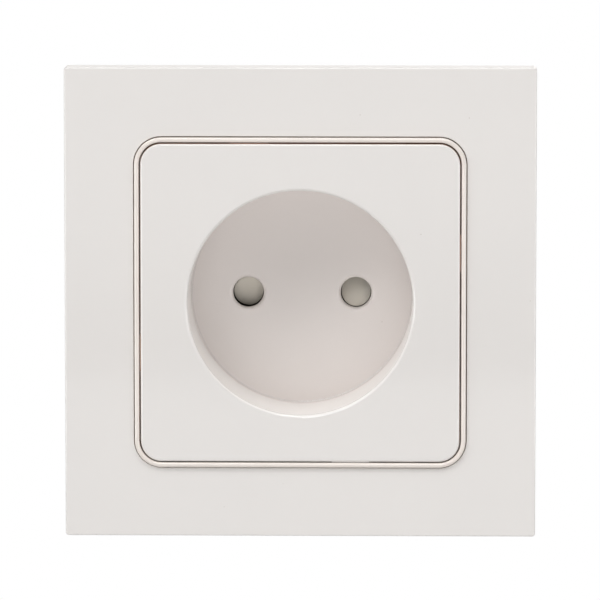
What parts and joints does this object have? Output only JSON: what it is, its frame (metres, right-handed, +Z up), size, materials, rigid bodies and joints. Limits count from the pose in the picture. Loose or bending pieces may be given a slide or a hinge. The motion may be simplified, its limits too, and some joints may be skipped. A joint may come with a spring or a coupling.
{
  "type": "wall socket",
  "caption": "Flush wall socket: square frame, trim ring and plate with a round plug well, sprung pin shutter, contacts, steel support plate and spreading claws.",
  "frame": {"origin": "middle of the socket on the wall plane, between the two box screws", "axes": "+X to the right, +Y into the wall, +Z up"},
  "size_m": [0.082, 0.0393, 0.082],
  "materials": {
    "white_gloss_plastic": "smooth gloss moulding",
    "grey_shutter_plastic": "satin grey moulding",
    "pale_inner_plastic": "satin moulding",
    "grey_base_plastic": "fine matt moulding",
    "zinc_plated_steel": "zinc plated",
    "spring_steel": "bright spring steel",
    "contact_brass": "stamped brass"
  },
  "bodies": {
    "socket": {"outer_frame": "white_gloss_plastic", "trim_ring": "white_gloss_plastic", "centre_plate": "white_gloss_plastic", "shutter_spring_left": "spring_steel", "shutter_spring_right": "spring_steel", "shutter_cup": "pale_inner_plastic", "shutter_cup_screw": "zinc_plated_steel", "support_plate": "zinc_plated_steel", "base_rivets": "contact_brass", "mechanism_base": "grey_base_plastic", "rear_cover": "grey_base_plastic", "rear_cover_screws": "zinc_plated_steel", "contact_left": "contact_brass", "contact_right": "contact_brass", "contact_spring_left": "spring_steel", "contact_spring_right": "spring_steel", "terminal_cage_left": "contact_brass", "terminal_cage_right": "contact_brass", "terminal_screw_left": "zinc_plated_steel", "terminal_screw_right": "zinc_plated_steel"},
    "shutter": {"shutter": "grey_shutter_plastic"},
    "claw_left": {"claw_left": "zinc_plated_steel"},
    "claw_right": {"claw_right": "zinc_plated_steel"},
    "claw_screw_left": {"claw_screw_left": "zinc_plated_steel"},
    "claw_screw_right": {"claw_screw_right": "zinc_plated_steel"}
  },
  "joints": [
    {"name": "shutter_turn", "type": "hinge", "parent": "socket", "child": "shutter", "pos_m": [0, 0.0117, 0], "axis": [0, 1, 0], "range_deg": [0, 42], "stiffness_Nm_per_rad": 0.004, "springref_deg": -17.19, "deforming": ["shutter_spring_left", "shutter_spring_right"]},
    {"name": "claw_screw_left_turn", "type": "hinge", "parent": "socket", "child": "claw_screw_left", "pos_m": [-0.0259, 0, 0], "axis": [0, 1, 0], "range_deg": [0, 840]},
    {"name": "claw_left_spread", "type": "hinge", "parent": "socket", "child": "claw_left", "pos_m": [-0.023, 0.0035, 0], "axis": [0, 0, 1], "range_deg": [0, 22]},
    {"name": "claw_screw_right_turn", "type": "hinge", "parent": "socket", "child": "claw_screw_right", "pos_m": [0.0259, 0, 0], "axis": [0, 1, 0], "range_deg": [0, 840]},
    {"name": "claw_right_spread", "type": "hinge", "parent": "socket", "child": "claw_right", "pos_m": [0.023, 0.0035, 0], "axis": [0, 0, -1], "range_deg": [0, 22]}
  ],
  "couplings": [
    {"joint": "claw_left_spread", "follows": "claw_screw_left_turn", "ratio": 0.02619},
    {"joint": "claw_right_spread", "follows": "claw_screw_right_turn", "ratio": 0.02619}
  ]
}
